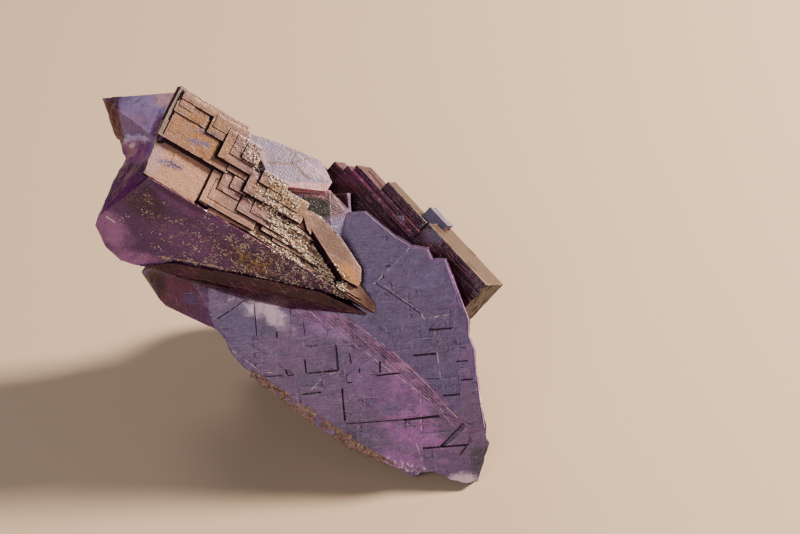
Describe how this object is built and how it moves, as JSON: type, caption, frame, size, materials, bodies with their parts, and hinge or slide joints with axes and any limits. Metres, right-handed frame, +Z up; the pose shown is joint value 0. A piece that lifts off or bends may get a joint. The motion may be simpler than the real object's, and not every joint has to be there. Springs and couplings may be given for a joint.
{
  "type": "fluorite crystal cluster",
  "caption": "Intergrown cluster of violet fluorite crystals: a stepped tan-filmed crystal over a broad violet face, with dark bars behind and a broken flat underside.",
  "frame": {"origin": "under the middle of the cluster, in the plane it rests on", "axes": "+Z up as it lies, +X to the right along the broad face, -Y towards the broad violet front face"},
  "size_m": [0.0564, 0.0453, 0.0528],
  "materials": {
    "violet_fluorite": "satin crystal faces, slate violet with pink and near-black depths, hackly where broken"
  },
  "bodies": {
    "root": {"fluorite_cluster": "violet_fluorite"}
  },
  "joints": []
}
